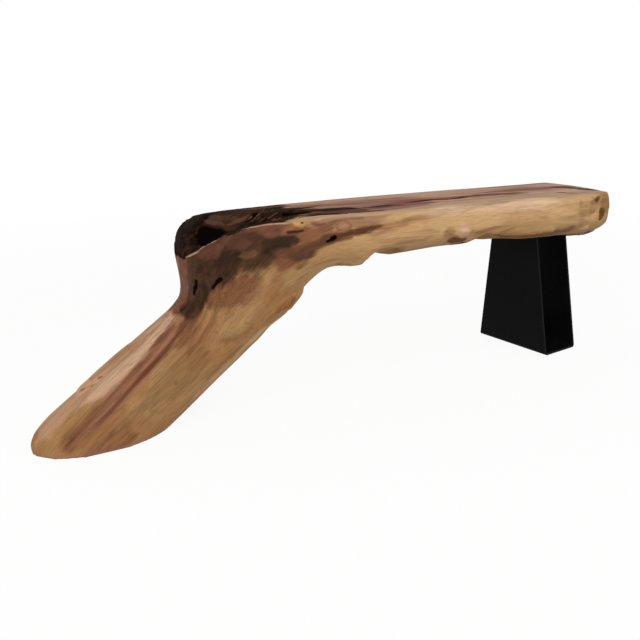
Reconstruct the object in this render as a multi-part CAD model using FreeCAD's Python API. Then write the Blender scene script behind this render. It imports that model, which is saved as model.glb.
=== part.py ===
import FreeCAD
import Part

import math
import os

# Rustic log bench, in millimetres.
# +X runs along the seat towards the steel leg, -Y is the front, +Z is up.
# The origin is on the floor, under the middle of the bench.

# Driving sizes of the log
overall_length = 1605.0
seat_height = 450.0
seat_width = 376.0
seat_thickness = 130.0
foot_width = 200.0
section_points = 12

# Driving sizes of the folded steel leg
plate_thickness = 6.0
bend_outer_radius = 9.0
leg_base_width = 240.0
leg_depth = 130.0
leg_taper_share = 0.125
leg_turn_degrees = 6.0
leg_inset = 245.0
recess_depth = 14.0
recess_margin = 9.0

# Lag screws and washers that hold the log down to the leg
screw_radius = 4.0
screw_length = 60.0
screw_point_length = 9.0
screw_head_flats = 13.0
screw_head_height = 5.5
screw_hole_clearance = 0.5
pilot_clearance = 0.1
washer_radius = 8.5
washer_thickness = 1.6
screw_spacing_x = 70.0
screw_spacing_y = 90.0

# Hollow of the broken end and drying cracks
hollow_length = 230.0
hollow_width = 164.0
hollow_depth = 60.0
crack_depth = 14.0
crack_width = 7.0

leg_height = seat_height - seat_thickness + recess_depth
leg_x = overall_length / 2 - leg_inset

# Root end, from the foot to the shoulder. Each row is a section of the log: the place of its
# lower point and of its upper point (along the bench from its middle as shares of the overall
# length, then height as shares of the seat height), its front and back half widths as shares
# of the foot width, and how far up the section it is widest.
root_section_shares = (
    (-0.333, -0.027, -0.501, -0.027, 0.455, 0.510, 0.50),
    (-0.306, 0.039, -0.4965, 0.0605, 0.462, 0.515, 0.50),
    (-0.277, 0.118, -0.464, 0.163, 0.475, 0.522, 0.50),
    (-0.244, 0.217, -0.425, 0.258, 0.500, 0.535, 0.50),
    (-0.209, 0.311, -0.380, 0.372, 0.535, 0.560, 0.50),
    (-0.184, 0.391, -0.332, 0.495, 0.600, 0.590, 0.50),
)

# Shoulder, where the root turns into the seat: as above, with the half widths as shares of
# the seat width.
shoulder_section_shares = (
    (-0.175, 0.441, -0.296, 0.604, 0.365, 0.335, 0.50),
    (-0.150, 0.480, -0.296, 0.733, 0.395, 0.350, 0.50),
    (-0.138, 0.533, -0.301, 0.866, 0.420, 0.362, 0.49),
    (-0.127, 0.592, -0.285, 0.990, 0.440, 0.372, 0.48),
    (-0.114, 0.647, -0.228, 1.072, 0.458, 0.388, 0.47),
    (-0.095, 0.691, -0.151, 1.096, 0.474, 0.412, 0.46),
)

# Seat, from the shoulder to the right-hand end: place along the bench as above, depth of the
# underside below the seat as a share of the seat thickness, and the half widths.
seat_section_shares = (
    (-0.078, 1.055, 0.484, 0.442),
    (-0.048, 1.068, 0.490, 0.458),
    (-0.008, 0.962, 0.495, 0.474),
    (0.098, 0.906, 0.500, 0.498),
    (0.142, 0.923, 0.498, 0.502),
    (0.194, 0.882, 0.496, 0.506),
    (0.256, 0.932, 0.494, 0.510),
    (0.316, 1.015, 0.500, 0.508),
    (0.385, 1.068, 0.498, 0.506),
    (0.435, 1.044, 0.448, 0.504),
    (0.472, 0.945, 0.350, 0.502),
    (0.511, 0.800, 0.225, 0.498),
)
seat_widest_share = 0.45
seat_crown_share = 0.42

# Right-hand end seen from above: three points of its sawn arc, as how far in from the end and
# how far across, both as shares of the seat width.
end_arc_shares = ((0.004, 0.53), (0.090, 0.0), (0.282, -0.42))

# Hollow: its middle along the bench and across, as shares of the overall length and seat width.
hollow_place_shares = (-0.2355, -0.080)
hollow_pitch_degrees = 21.0

# Broken lip in front of the hollow, from the left up to the seat: place along the bench and
# height, as shares of the overall length and the seat height.
lip_shares = (
    (-0.310, 0.800),
    (-0.280, 0.889),
    (-0.265, 0.927),
    (-0.250, 0.962),
    (-0.222, 0.980),
    (-0.140, 1.000),
)

# Drying cracks in the seat: both ends along and across, as above, then the width as a share of
# the crack width. The first is the rotten trough that runs on from the hollow.
crack_shares = (
    (-0.190, -0.090, -0.105, -0.110, 9.0),
    (-0.118, -0.060, -0.024, -0.150, 1.0),
    (-0.124, -0.255, -0.012, -0.355, 0.7),
    (0.000, -0.096, 0.156, -0.008, 0.8),
    (0.162, -0.012, 0.336, -0.056, 0.6),
)


def table_sections():
    """Every section of the tables in millimetres: lower point, upper point, half widths, widest."""
    sections = []
    for rows, width in ((root_section_shares, foot_width), (shoulder_section_shares, seat_width)):
        for lower_x, lower_z, upper_x, upper_z, front, back, widest in rows:
            lower = FreeCAD.Vector(lower_x * overall_length, 0, lower_z * seat_height)
            upper = FreeCAD.Vector(upper_x * overall_length, 0, upper_z * seat_height)
            sections.append((lower, upper, front * width, back * width, widest))
    for place, drop, front, back in seat_section_shares:
        x = place * overall_length
        lower = FreeCAD.Vector(x, 0, seat_height - drop * seat_thickness)
        upper = FreeCAD.Vector(x, 0, seat_height + seat_crown_share * seat_thickness)
        sections.append((lower, upper, front * seat_width, back * seat_width, seat_widest_share))
    return sections


def with_middles(sections):
    """Adds a section halfway between each two, on a smooth curve through four neighbours."""
    padded = [sections[0]] + sections + [sections[-1]]
    smooth = [sections[0]]
    for before, low, high, after in zip(padded, padded[1:], padded[2:], padded[3:]):
        middle = [((b + c) * 9 - a - d) * (1 / 16) for a, b, c, d in zip(before, low, high, after)]
        smooth += [middle, high]
    return smooth


def section_wire(lower, upper, front, back, widest):
    """Closed rounded outline through a lower and an upper point, in the plane that holds Y."""
    up = upper.sub(lower)
    depth = up.Length
    up.normalize()
    across = FreeCAD.Vector(0, 1, 0)
    centre = lower.add(up * (depth * widest))
    points = []
    for step in range(section_points):
        angle = 2 * math.pi * step / section_points
        side = math.cos(angle)
        rise = math.sin(angle)
        reach = back if side > 0 else front
        height = depth * (1 - widest) if rise > 0 else depth * widest
        points.append(centre.add(across * (side * reach)).add(up * (rise * height)))
    curve = Part.BSplineCurve()
    knots = [float(step) for step in range(section_points + 1)]
    curve.interpolate(Points=points, PeriodicFlag=True, Parameters=knots)
    return Part.Wire([curve.toShape()])


def whole_log():
    """The log before it is sawn: one closed shell of ruled strips between the sections."""
    wires = [section_wire(*section) for section in with_middles(table_sections())]
    faces = [Part.Face(wires[0]), Part.Face(wires[-1])]
    for lower, upper in zip(wires, wires[1:]):
        faces += Part.makeLoft([lower, upper], False, True).Faces
    return Part.makeSolid(Part.makeShell(faces))


def block(x_low, x_high, y_low, y_high, z_low, z_high):
    corner = FreeCAD.Vector(x_low, y_low, z_low)
    return Part.makeBox(x_high - x_low, y_high - y_low, z_high - z_low, corner)


def turn_with_leg(shape):
    """Places a shape of the steel leg's own frame on the bench."""
    shape.rotate(FreeCAD.Vector(0, 0, 0), FreeCAD.Vector(0, 0, 1), leg_turn_degrees)
    shape.translate(FreeCAD.Vector(leg_x, 0, 0))
    return shape


def screw_places():
    """Centres of the four lag screws in the leg's own frame."""
    places = []
    for side_x in (-1, 1):
        for side_y in (-1, 1):
            places.append((side_x * screw_spacing_x / 2, side_y * screw_spacing_y / 2))
    return places


def plan_point(inset_share, across_share):
    return FreeCAD.Vector(overall_length / 2 - inset_share * seat_width,
                          across_share * seat_width, 0)


def end_cutter():
    """Everything beyond the curved saw cut of the right-hand end."""
    back, middle, front = [plan_point(inset, across) for inset, across in end_arc_shares]
    far_front = FreeCAD.Vector(front.x - seat_width, front.y - seat_width, 0)
    far_corner = FreeCAD.Vector(overall_length, front.y - seat_width, 0)
    far_back = FreeCAD.Vector(overall_length, back.y, 0)
    edges = [Part.Arc(back, middle, front).toShape(), Part.makeLine(front, far_front),
             Part.makeLine(far_front, far_corner), Part.makeLine(far_corner, far_back),
             Part.makeLine(far_back, back)]
    cutter = Part.Face(Part.Wire(edges)).extrude(FreeCAD.Vector(0, 0, 2 * seat_height))
    return cutter


def planing_cutters():
    """What the saw takes off above the seat and below the floor."""
    above = block(-overall_length, overall_length, -seat_width, seat_width,
                  seat_height, seat_height + seat_width)
    below = block(-overall_length, overall_length, -seat_width, seat_width, -seat_width, 0)
    return [above, below]


def hollow_cutters():
    """Rotten pocket of the broken end, behind its thin front lip: two balls side by side."""
    along, across = hollow_place_shares
    radius = (hollow_width ** 2 / 4 + hollow_depth ** 2) / (2 * hollow_depth)
    centre = FreeCAD.Vector(along * overall_length, across * seat_width,
                            seat_height - hollow_depth + radius)
    pitch = math.radians(hollow_pitch_degrees)
    spread = FreeCAD.Vector(math.cos(pitch), 0, math.sin(pitch)) * (hollow_length - hollow_width)
    return [Part.makeSphere(radius, centre - spread / 2),
            Part.makeSphere(radius, centre + spread / 2)]


def lip_cutter():
    """What has broken away in front of the hollow, above the lip."""
    across = hollow_place_shares[1] * seat_width
    corners = [FreeCAD.Vector(x * overall_length, -seat_width, z * seat_height)
               for x, z in lip_shares]
    above = FreeCAD.Vector(0, 0, seat_width)
    outline = corners + [corners[-1] + above, corners[0] + above, corners[0]]
    face = Part.Face(Part.makePolygon(outline))
    return face.extrude(FreeCAD.Vector(0, seat_width + across, 0))


def crack_cutters():
    """Lens-shaped drying cracks, widest in the middle, cut straight down into the seat."""
    cutters = []
    for start_x, start_y, end_x, end_y, width in crack_shares:
        start = FreeCAD.Vector(start_x * overall_length, start_y * seat_width,
                               seat_height - crack_depth)
        end = FreeCAD.Vector(end_x * overall_length, end_y * seat_width,
                             seat_height - crack_depth)
        along = end.sub(start).normalize()
        side = FreeCAD.Vector(-along.y, along.x, 0) * (width * crack_width / 2)
        middle = (start + end) * 0.5
        outline = Part.Wire([Part.Arc(start, middle + side, end).toShape(),
                             Part.Arc(end, middle - side, start).toShape()])
        cutters.append(Part.Face(outline).extrude(FreeCAD.Vector(0, 0, 2 * crack_depth)))
    return cutters


def recess_cutter():
    """Flat routed across the underside, where the leg's top plate seats."""
    half = leg_depth / 2 + recess_margin
    cutter = block(-half, half, -seat_width, seat_width, 0, leg_height)
    return turn_with_leg(cutter)


def pilot_holes():
    holes = []
    depth = screw_length - washer_thickness - plate_thickness
    for x, y in screw_places():
        base = FreeCAD.Vector(x, y, leg_height)
        hole = Part.makeCylinder(screw_radius + pilot_clearance, depth, base)
        holes.append(turn_with_leg(hole))
    return holes


def log_solid():
    sawn = whole_log().cut(planing_cutters() + [end_cutter(), recess_cutter()] + pilot_holes())
    return sawn.cut(hollow_cutters() + [lip_cutter()] + crack_cutters())


def leg_outline_prism():
    """Trapezoid seen along the bench, that tapers the walls of the leg towards the top."""
    half = leg_base_width / 2
    top_half = half - leg_taper_share * leg_height
    points = [FreeCAD.Vector(-leg_depth, -half, 0), FreeCAD.Vector(-leg_depth, half, 0),
              FreeCAD.Vector(-leg_depth, top_half, leg_height),
              FreeCAD.Vector(-leg_depth, -top_half, leg_height)]
    face = Part.Face(Part.makePolygon(points + points[:1]))
    return face.extrude(FreeCAD.Vector(2 * leg_depth, 0, 0))


def leg_shell_solid():
    """One folded plate: inner wall, base and outer wall, with bent lower corners."""
    half = leg_depth / 2
    width = leg_base_width
    wall_top = leg_height - plate_thickness
    outside = block(-half, half, -width / 2, width / 2, 0, wall_top)
    lower = [edge for edge in outside.Edges
             if edge.BoundBox.ZMax < wall_top / 2 and edge.BoundBox.YLength > width / 2]
    outside = outside.makeFillet(bend_outer_radius, lower)
    inside = block(-half + plate_thickness, half - plate_thickness, -width, width,
                   plate_thickness, 2 * wall_top)
    lower = [edge for edge in inside.Edges
             if edge.BoundBox.ZMax < wall_top / 2 and edge.BoundBox.YLength > width / 2]
    inside = inside.makeFillet(bend_outer_radius - plate_thickness, lower)
    return turn_with_leg(outside.cut(inside).common(leg_outline_prism()))


def leg_top_plate_solid():
    half = leg_depth / 2
    plate = block(-half, half, -leg_base_width, leg_base_width,
                  leg_height - plate_thickness, leg_height)
    plate = plate.common(leg_outline_prism())
    for x, y in screw_places():
        base = FreeCAD.Vector(x, y, 0)
        radius = screw_radius + screw_hole_clearance
        plate = plate.cut(Part.makeCylinder(radius, 2 * leg_height, base))
    return turn_with_leg(plate)


def washer_solid(place):
    x, y = place
    base = FreeCAD.Vector(x, y, leg_height - plate_thickness - washer_thickness)
    ring = Part.makeCylinder(washer_radius, washer_thickness, base)
    hole = Part.makeCylinder(screw_radius + screw_hole_clearance, washer_thickness, base)
    return turn_with_leg(ring.cut(hole))


def lag_screw_solid(place):
    """Hexagon head below, then a plain shank and a cone point up into the log."""
    x, y = place
    seat = leg_height - plate_thickness - washer_thickness
    corner = screw_head_flats / math.sqrt(3)
    corners = []
    for step in range(7):
        angle = math.pi * step / 3
        corners.append(FreeCAD.Vector(x + corner * math.cos(angle), y + corner * math.sin(angle),
                                      seat - screw_head_height))
    head = Part.Face(Part.makePolygon(corners)).extrude(FreeCAD.Vector(0, 0, screw_head_height))
    straight = screw_length - screw_point_length
    shank = Part.makeCylinder(screw_radius, straight, FreeCAD.Vector(x, y, seat))
    point = Part.makeCone(screw_radius, 0, screw_point_length,
                          FreeCAD.Vector(x, y, seat + straight))
    return turn_with_leg(head.fuse([shank, point]).removeSplitter())


def all_pieces():
    pieces = {
        "log": log_solid(),
        "leg_shell": leg_shell_solid(),
        "leg_top_plate": leg_top_plate_solid(),
    }
    for number, place in enumerate(screw_places(), 1):
        pieces["lag_screw_%d" % number] = lag_screw_solid(place)
        pieces["washer_%d" % number] = washer_solid(place)
    return pieces


os.makedirs("parts", exist_ok=True)
for name, shape in all_pieces().items():
    shape.exportStep("parts/" + name + ".step")
    print(name, shape.isValid(), len(shape.Solids), round(shape.Volume), shape.BoundBox)
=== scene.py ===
import math
from collections import namedtuple

import bmesh
import bpy
import numpy as np
from mathutils import Euler, Matrix, Vector, noise
from mathutils.bvhtree import BVHTree


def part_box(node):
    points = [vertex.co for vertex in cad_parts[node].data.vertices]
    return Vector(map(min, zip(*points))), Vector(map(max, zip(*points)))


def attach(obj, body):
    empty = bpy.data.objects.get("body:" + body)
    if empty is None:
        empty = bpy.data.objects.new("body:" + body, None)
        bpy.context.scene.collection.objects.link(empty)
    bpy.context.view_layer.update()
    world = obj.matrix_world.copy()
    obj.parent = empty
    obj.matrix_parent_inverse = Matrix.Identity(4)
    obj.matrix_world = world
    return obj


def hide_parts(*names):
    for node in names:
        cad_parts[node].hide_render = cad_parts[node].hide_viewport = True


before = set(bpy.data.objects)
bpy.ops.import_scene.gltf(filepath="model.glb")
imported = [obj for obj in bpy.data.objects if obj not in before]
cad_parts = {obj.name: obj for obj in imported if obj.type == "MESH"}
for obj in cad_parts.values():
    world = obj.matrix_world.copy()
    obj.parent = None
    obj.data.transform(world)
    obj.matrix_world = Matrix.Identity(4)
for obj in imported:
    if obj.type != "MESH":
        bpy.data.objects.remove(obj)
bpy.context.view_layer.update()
bpy.context.scene.view_settings.view_transform = "Standard"

# Places are in metres, in the frame of the CAD model, unless a name or a comment says otherwise.
# A pair of values with the word span, edge or facing in its name is where a smooth step starts
# and where it ends.
log_low, log_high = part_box("log")
leg_low, leg_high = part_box("leg_shell")
leg_x = (leg_low.x + leg_high.x) / 2
seat_top = log_high.z
millimetre = 0.001

# Camera, placed from the steel leg. The photograph is taken as 640 pixels square.
camera_offset = Vector((-1.3847, -1.3672, 0.642))
camera_azimuth = math.radians(-27.1)
camera_elevation = math.radians(8.2)
camera_roll = math.radians(-1.1)
camera_lens = 36.0
photo_size = 640
photo_centre = (320, 220)

# Light and floor. Each lamp has its place, its size and its power.
sky_colour = (1.0, 0.985, 0.955)
sky_strength = 0.62
lamps = {"key": ((-2.4, -2.9, 3.2), 2.6, 105), "fill": ((2.4, -3.0, 1.2), 2.2, 30)}
floor_size = 60
floor_colour = (0.86, 0.86, 0.86)
floor_glow_span = (1.0, 4.5)
floor_glow_shares = (0.93, 1.0)

# Mesh of the log
voxel_size = 0.0054
relax_share = 0.5
body_smooth_steps = 9
round_smooth_steps = 9
edge_smooth_steps = 3
sawn_relax_share = 0.7
sawn_smooth_steps = 6
flat_span = (0.003, 0.016)
round_start_span = (-0.30, -0.18)
round_end_span = (0.62, 0.54)

# What rests on the leg keeps the shape of the CAD model.
calm_reach = 0.11
calm_share = 0.1
rest_reach = 0.10
rest_half_width = 0.11
rest_height = 0.015

# Finer faces at the slits, the small marks and the rotten wood. The reaches are in millimetres.
slit_reach = 12.0
fine_reaches = (7.0, 4.0)
fine_paints = ("ring_line", "yellow", "dark_line", "end_knot", "ledge_knot")
fine_rot = 0.1

# Middle line of the log, along and up: beyond the root, a bend with its control point, and
# beyond the seat.
root_line_start = (-1.127, -0.392)
bend_start = (-0.440, 0.178)
bend_control = (-0.330, 0.385)
bend_end = (-0.150, 0.392)
seat_line_end = (2.0, 0.392)
bend_steps = 60

# The two balls that the hollow was cut with
hollow_centres = ((-0.4088, -0.030, 0.4642), (-0.3472, -0.030, 0.4878))
hollow_radius = 0.086

# Borders of the rotten wood. A border is two rows: where, and the border's place there.
bowl_edge = (-0.0075, -0.0035)
rot_end = ((-0.146, -0.039, 0.015, 0.123, 0.16), (-0.262, -0.225, -0.213, -0.160, -0.15))
rot_end_edge = (-0.060, 0.050)
rot_front = ((-0.310, -0.290, -0.240), (-0.122, -0.137, -0.137))
rot_front_edge = (-0.006, 0.006)
rot_top_edge = (0.424, 0.430)
lip_back = ((-0.49, -0.473, -0.450, -0.425, -0.401, -0.357),
            (-0.045, -0.052, -0.084, -0.103, -0.100, -0.118))
lip_back_edge = (0.0, 0.008)
lip_left_edge = (-0.385, -0.415)
lip_low_edge = (0.364, 0.378)
lip_low_wobble = 0.010

# Relief of the log. Each noise has its height, its scale on each axis and its seed, and heights
# and depths are in millimetres.
wobble_noises = ((1.0, (24, 24, 24), 11.3), (0.6, (70, 70, 70), 5.1))
body_noises = ((2.4, (7, 13, 13), 2.2), (0.9, (16, 34, 34), 7.7), (0.3, (30, 110, 110), 4.9))
fray_noises = ((0.55, (16, 95, 60), 3.3), (0.25, (30, 230, 160), 8.2))
lump_noises = ((0.5, (34, 34, 34), 1.7),)
fray_lean = (0.62, 0.78)
fray_depth = 9.0
fray_middle = 0.75
fray_bowl_edge = (-0.006, 0.010)
fray_rim_share = 0.35
back_rim_span = (0.055, 0.085)
back_rim_share = 0.85
slit_depth = 9.0
slit_edge = (0.40, 1.0)
dent_squeeze = (1, 0.15, 0.6)
dent_facing = (0.1, -0.5)

# Layers from the shape: sawn faces, the right-hand end for its painted shade, its cut, sunk
# cracks, and the lower side for its painted shade
sawn_edge = (0.006, 0.002)
sawn_normal = 0.5
end_span = (0.58, 0.71)
cut_facing = (0.75, 0.95)
cut_span = (0.6, 0.7)
crack_edge = (0.4485, 0.4450)
crack_floor = 0.43
crack_across = (-0.125, 0.12)
crack_end = 0.22
low_edge = (0.392, 0.342)
low_span = (-0.12, -0.02)
low_more = 0.15
low_more_span = (0.2, 0.4)
dark_slot_from = 0.4
sawn_slot_from = 0.5

# How the rows of marks are laid on the log. Rows with a strength over blunt_above keep their
# width up to their ends, and the others taper over tip_share of their length. A ray that passes
# beside the log takes the place nearest to one of its missed_steps.
wobble_share = 0.22
shape_wobble_share = 0.1
tip_share = 0.22
blunt_above = 1.1
missed_steps = [0.02 * step for step in range(60, 160)]

# Noises of the wood: whether the bent grain carries it, scale along and across the grain, detail
# and roughness.
wood_noises = {
    "broad": (True, 2.2, 22.0, 4.0, 0.55),
    "wide": (True, 1.7, 11.0, 4.0, 0.6),
    "streak": (True, 5.0, 80.0, 5.0, 0.6),
    "fibre": (True, 22.0, 420.0, 3.0, 0.6),
    "rings": (True, 2.6, 48.0, 3.0, 0.5),
    "cloud": (False, 5.0, 8.0, 4.0, 0.6),
    "blotch": (False, 14.0, 22.0, 3.0, 0.6),
    "rot": (False, 30.0, 110.0, 5.0, 0.65),
}
whole_span = (0.3, 0.7)
middle_span = (0.35, 0.65)
warp_scale = (3.0, 9.0, 9.0)
warp_detail = 3.0
warp_reach = (0.0, 0.035, 0.035)

# Colours are as they are seen, as red, green and blue up to 255. The round side of the log has
# each of its tones at the root and at the seat, and its length is measured along the grain.
side_colours = {
    "base": ((156, 116, 75), (186, 151, 107)),
    "shade": ((140, 98, 60), (168, 131, 88)),
    "warm": ((164, 127, 86), (192, 153, 113)),
}
side_span = (1.05, 1.45)
# Tones of the round side and of the planed top: noise, its span, strength and colour.
side_tones = (
    ("broad", (0.40, 0.72), 0.75, "shade"),
    ("cloud", (0.48, 0.74), 0.70, "shade"),
    ("blotch", (0.50, 0.75), 0.55, "warm"),
    ("streak", (0.56, 0.76), 0.25, "shade"),
)
planed_tones = (
    ("wide", (0.36, 0.66), 1.0, (156, 117, 98)),
    ("broad", (0.46, 0.70), 0.50, (134, 98, 82)),
    ("streak", (0.52, 0.74), 0.45, (116, 80, 66)),
    ("blotch", (0.52, 0.75), 0.35, (178, 146, 124)),
)
planed_colours = ((184, 145, 125), (200, 170, 146))
planed_span = (1.25, 2.05)
# Painted shade: the lower side and the right-hand end of the log are darkened as they turn away
# from the light.
shaded_colours = {"low": (138, 101, 63), "end": (152, 114, 76)}
shaded_share = 0.85
crack_colour = (44, 26, 20)
slit_colour = (26, 14, 10)
slit_dark_span = (0.36, 0.56)
slit_ragged_share = 0.10
rot_colours = ((28, 17, 13), (62, 41, 33))
rot_tone_span = (0.42, 0.74)
rot_torn_span = (0.34, 0.66)
rot_torn_share = 0.45
rot_edge = (0.35, 0.65)

# Rings of the sawn end round their pith, which is placed across and up from the grain's line
pith_offset = (0.0, 0.01, -0.035)
ring_pitch = 900.0
ring_span = (-0.4, 1.0)
ring_least_share = 0.2
ring_colours = ((168, 129, 90), (138, 99, 64))
pith_colour = (116, 76, 54)
pith_span = (0.035, 0.060)
pith_share = 0.8

# Edge and tint of a painted mark, and the fine lines of the grain
fray_streak_share = 0.35
fray_span = (0.32, 0.68)
tint_span = (0.34, 0.68)
tint_shares = (1.06, 0.90)
line_width = 0.028
line_least = 0.84
fibre_shares = (0.90, 1.08)
bump_fibre_share = 0.35
bump_strength = 0.4
bump_distance = 0.001
wood_roughness = (0.50, 0.62)

# Materials of the log in the order of their slots, each with its index of refraction
wood_materials = {"log_wood": 1.12, "log_top": 1.03, "log_rot": 1.02}

# Metals: scale of the mottling, its two colours as linear light, its two roughnesses, the metallic
# share, the index of refraction, and the strength of the orange peel.
metals = {
    "black_steel": (14.0, ((0.0022, 0.0022, 0.0028), (0.0034, 0.0034, 0.0042)), (0.40, 0.48),
                    0.0, 1.13, 0.12),
    "zinc_steel": (240.0, ((0.42, 0.42, 0.40), (0.58, 0.58, 0.56)), (0.30, 0.45), 1.0, 1.5, 0.0),
}
mottle_detail = 3.0
peel_scale = 900.0
peel_detail = 2.0
peel_distance = 0.0003

# Marks of the wood are chains of places in the photograph, in pixels, that are cast on the log.
# Each row says: chain, half width and soft edge in millimetres, and strength. A paint has the
# colour that is seen, how far the grain frays its edge, its rows, and whether the far side of the
# log has it too.
Paint = namedtuple("Paint", "seen fray rows both_sides", defaults=[False])
paints = {}
# Painted light: the upper face of the root leg, which turns to the lamp, is painted paler.
paints["light_face"] = Paint((183, 145, 116), 0.2, [
    ([(184, 300), (166, 324), (150, 341), (132, 358), (114, 375), (96, 392), (76, 412)],
     16, 26, 0.85),
    ([(90, 390), (66, 408), (46, 430), (36, 444)], 8, 26, 0.55),
    ([(76, 396), (92, 380)], 8, 16, 0.95),
], True)
paints["smudge"] = Paint((134, 92, 60), 0.5, [
    ([(226, 285), (240, 281.6), (262, 277)], 5, 22, 0.75),
    ([(224, 303), (238, 299), (254, 291)], 10, 26, 1.15),
    ([(215, 318), (235, 308), (250, 300)], 6, 30, 0.5),
    ([(150, 356), (176, 344), (206, 330)], 16, 44, 0.55),
    ([(140, 440), (104, 446), (70, 442)], 14, 36, 0.7),
    ([(210, 322), (230, 328), (252, 314)], 12, 34, 0.6),
    ([(74, 444), (88, 430), (108, 410)], 12, 26, 1.15),
    ([(84, 446), (92, 436), (104, 424)], 6, 22, 1.15),
    ([(250, 340), (226, 364), (200, 392)], 4, 22, 0.45),
], True)
paints["olive"] = Paint((165, 130, 88), 0.45, [
    ([(272, 268), (254, 284), (236, 312), (214, 340)], 8, 40, 0.45),
    ([(136, 406), (172, 404), (208, 368)], 12, 40, 0.5),
    ([(186, 350), (172, 368), (152, 386)], 5, 22, 0.3),
    ([(318, 262), (300, 270), (284, 288)], 8, 26, 0.7),
], True)
# Painted light along the lower right edge of the root leg's belly.
paints["belly_light"] = Paint((180, 142, 102), 0.4, [
    ([(296, 301), (262, 331), (238, 355), (212, 380), (182, 410)], 4, 16, 0.85),
], True)
# Painted shade on the log's lower side above the steel leg, where the log and the leg meet.
paints["under"] = Paint((108, 79, 52), 0.35, [
    ([(488, 236.4), (520, 235.4), (540, 233.4), (568, 230)], 6, 18, 1.15),
    ([(506, 236), (536, 234), (566, 231)], 9, 16, 1.15),
], True)
# Painted shade on the log's right-hand tip, which turns away from the light.
paints["tip"] = Paint((134, 97, 62), 0.35, [
    ([(600, 193), (604, 197), (604, 205)], 8, 18, 1.15),
], True)
# Painted highlight along the ridge of the root leg.
paints["ridge_light"] = Paint((203, 168, 139), 0.2, [
    ([(180, 312), (162, 333), (146, 349), (130, 365), (114, 380), (99, 395), (82, 408)],
     4, 16, 0.5),
])
# A mauve band of the wood beside the ridge, darkened further as painted shade of the face that
# turns from the light.
paints["band"] = Paint((140, 98, 74), 0.25, [
    ([(192, 306), (183, 319), (172, 334), (164, 344), (156, 353), (140, 372), (124, 389),
     (108, 407), (84, 431)], 10, 15, 1.0),
    ([(180, 302), (163, 323), (150, 338), (130, 358)], 1.2, 5, 0.55),
    ([(156, 328), (128, 356), (102, 377)], 1.0, 6, 0.35),
], True)
paints["red_line"] = Paint((104, 62, 42), 0.35, [
    ([(204, 298), (196, 309), (188, 320), (180, 331), (172, 341), (164, 350.6), (156, 359.6),
     (148, 368), (140, 377), (132, 386), (124, 395.6), (116, 405), (108, 413.6), (100, 421.4),
     (92, 430), (80, 443)], 1.6, 7, 1.0),
    ([(189, 304), (180, 315), (172, 327.6), (164, 337.4), (156, 347), (146, 359)], 1.0, 10, 0.5),
    ([(152, 355), (140, 367), (128, 380), (116, 394), (103, 406), (90, 419), (78, 433), (62, 452)],
     1.2, 10, 0.5),
    ([(200, 302), (188, 320), (174, 340)], 4, 14, 0.75),
    ([(96, 384), (80, 394)], 0.6, 4, 0.5),
], True)
paints["brown"] = Paint((120, 80, 54), 0.36, [
    ([(210, 298), (220, 290), (234, 287), (246, 284)], 14, 26, 1.15),
    ([(222, 300), (238, 294)], 8, 20, 1.15),
    ([(206, 306), (200, 320), (190, 332), (178, 346)], 6, 18, 0.55),
    ([(272, 262), (284, 261.4), (298, 261), (314, 257)], 3, 26, 0.85),
    ([(212, 340), (204, 332), (214, 316)], 5, 24, 0.45),
], True)
paints["wash"] = Paint((146, 108, 82), 0.4, [
    ([(296, 222), (330, 220.5), (360, 219), (392, 216.4)], 12, 22, 0.95),
    ([(316, 232), (334, 230.4), (352, 230)], 4, 13, 0.8),
    ([(318, 240), (330, 236)], 8, 12, 0.9),
], True)
paints["neck"] = Paint((112, 72, 54), 0.3, [
    ([(182.6, 258.6), (185, 264), (184.6, 280), (184.6, 296), (180, 308)], 14, 12, 1.2),
    ([(179, 257), (180.6, 264), (182.6, 274)], 12, 12, 1.2),
], True)
paints["heart"] = Paint((73, 48, 34), 0.3, [
    ([(193, 261), (202, 255), (214, 249), (226, 242), (240, 238), (256, 236), (270, 236)],
     20, 9, 1.3),
    ([(196, 270), (206, 266), (221, 259), (237, 253), (252, 249), (270, 247)], 22, 16, 1.3),
    ([(191.4, 264), (190.6, 282), (192, 300)], 13, 8, 1.3),
    ([(198, 272), (198, 284), (198, 298)], 13, 12, 1.3),
    ([(203, 280), (214, 275), (228, 268), (243, 261), (262, 255)], 12, 30, 1.3),
    ([(204, 280), (201, 296), (192, 312)], 13, 14, 1.3),
    ([(268, 246), (286, 247.5), (301, 250), (308, 252)], 10, 17, 1.3),
    ([(222, 236), (240, 232), (262, 230), (284, 230)], 8, 9, 1.2),
], True)
paints["heart_dark"] = Paint((50, 34, 23), 0.38, [
    ([(197, 271), (210, 268), (222, 265), (234, 262), (250, 258)], 6, 28, 0.5),
    ([(203, 280), (202, 293), (194, 308)], 6, 20, 0.65),
    ([(260, 253), (270, 246.5), (280, 242.5), (300, 241.5)], 8, 16, 0.95),
    ([(208, 294), (222, 281), (236, 271), (248, 265), (262, 260)], 2, 16, 0.55),
    ([(194, 303), (187, 310), (181, 316)], 6, 18, 0.8),
], True)
paints["heart_red"] = Paint((108, 69, 53), 0.34, [
    ([(224, 240), (236, 242), (250, 243)], 4, 14, 0.35),
    ([(198, 254.6), (209, 251.5), (222, 247)], 3, 18, 0.35),
    ([(226, 233.4), (238, 231), (256, 227.6), (272, 226.8), (294, 228)], 4, 10, 1.0),
    ([(258, 233), (280, 235), (304, 236)], 3, 10, 0.8),
    ([(188, 264), (188.6, 276), (187.6, 292)], 2, 9, 0.45),
    ([(272, 252), (290, 253), (304, 248)], 2, 12, 0.6),
])
paints["ledge_knot"] = Paint((98, 67, 46), 0.15, [
    ([(239, 256.6), (249, 254.8), (259, 252.8)], 3.6, 8, 0.95),
])
paints["terracotta"] = Paint((126, 83, 57), 0.36, [
    ([(290, 231), (304, 233), (318, 237)], 13, 16, 1.15),
    ([(298, 242), (310, 239), (320, 236)], 7, 14, 1.15),
    ([(322, 225.6), (328, 226.6)], 3, 8, 0.9),
])
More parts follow.
